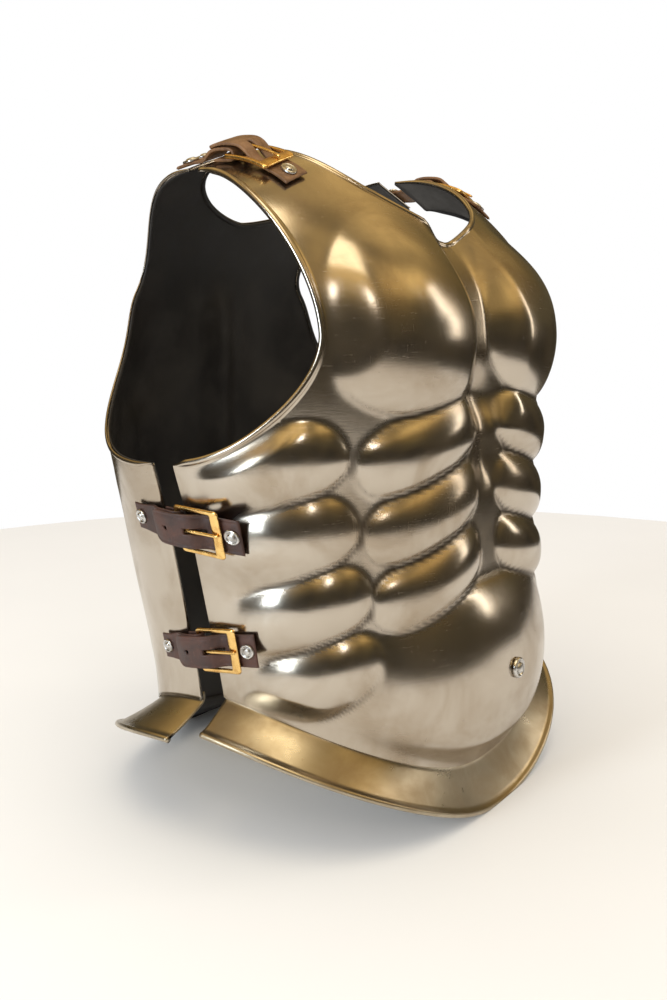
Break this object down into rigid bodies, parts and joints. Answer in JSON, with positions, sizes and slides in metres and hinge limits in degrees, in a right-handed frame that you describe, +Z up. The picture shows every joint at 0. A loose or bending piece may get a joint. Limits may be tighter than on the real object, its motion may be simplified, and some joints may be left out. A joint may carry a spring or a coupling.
{
  "type": "muscle cuirass",
  "caption": "Hollow steel body armour: an embossed muscle breastplate and backplate with flared lower rims, joined by buckled leather straps.",
  "frame": {"origin": "centre of the bounding box on the surface it stands on", "axes": "+Z up, the chest faces -Y, the wearer's left side is +X"},
  "size_m": [0.4068, 0.3233, 0.4921],
  "materials": {
    "steel": "polished, lightly scratched, black painted inside",
    "flange": "satin, brushed along its length",
    "dark_leather": "worn, dark brown",
    "tan_leather": "worn, tan brown",
    "brass": "cast and polished",
    "nickel": "plated, slightly dull"
  },
  "bodies": {
    "root": {"breastplate": "steel", "backplate": "steel", "breast_flange": "flange", "back_flange": "flange", "navel_stud": "nickel", "right_upper_chape": "dark_leather", "right_upper_billet": "dark_leather", "right_upper_buckle_frame": "brass", "right_upper_buckle_prong": "brass", "right_upper_billet_rivet_1": "nickel", "right_upper_chape_rivet_1": "nickel", "right_lower_chape": "dark_leather", "right_lower_billet": "dark_leather", "right_lower_buckle_frame": "brass", "right_lower_buckle_prong": "brass", "right_lower_billet_rivet_1": "nickel", "right_lower_chape_rivet_1": "nickel", "right_shoulder_chape": "tan_leather", "right_shoulder_billet": "tan_leather", "right_shoulder_buckle_frame": "brass", "right_shoulder_buckle_prong": "brass", "right_shoulder_billet_rivet_1": "nickel", "right_shoulder_chape_rivet_1": "nickel", "right_shoulder_chape_rivet_2": "nickel", "right_shoulder_chape_rivet_3": "nickel", "left_upper_chape": "dark_leather", "left_upper_billet": "dark_leather", "left_upper_buckle_frame": "brass", "left_upper_buckle_prong": "brass", "left_upper_billet_rivet_1": "nickel", "left_upper_chape_rivet_1": "nickel", "left_lower_chape": "dark_leather", "left_lower_billet": "dark_leather", "left_lower_buckle_frame": "brass", "left_lower_buckle_prong": "brass", "left_lower_billet_rivet_1": "nickel", "left_lower_chape_rivet_1": "nickel", "left_shoulder_chape": "tan_leather", "left_shoulder_billet": "tan_leather", "left_shoulder_buckle_frame": "brass", "left_shoulder_buckle_prong": "brass", "left_shoulder_billet_rivet_1": "nickel", "left_shoulder_chape_rivet_1": "nickel", "left_shoulder_chape_rivet_2": "nickel", "left_shoulder_chape_rivet_3": "nickel"}
  },
  "joints": []
}
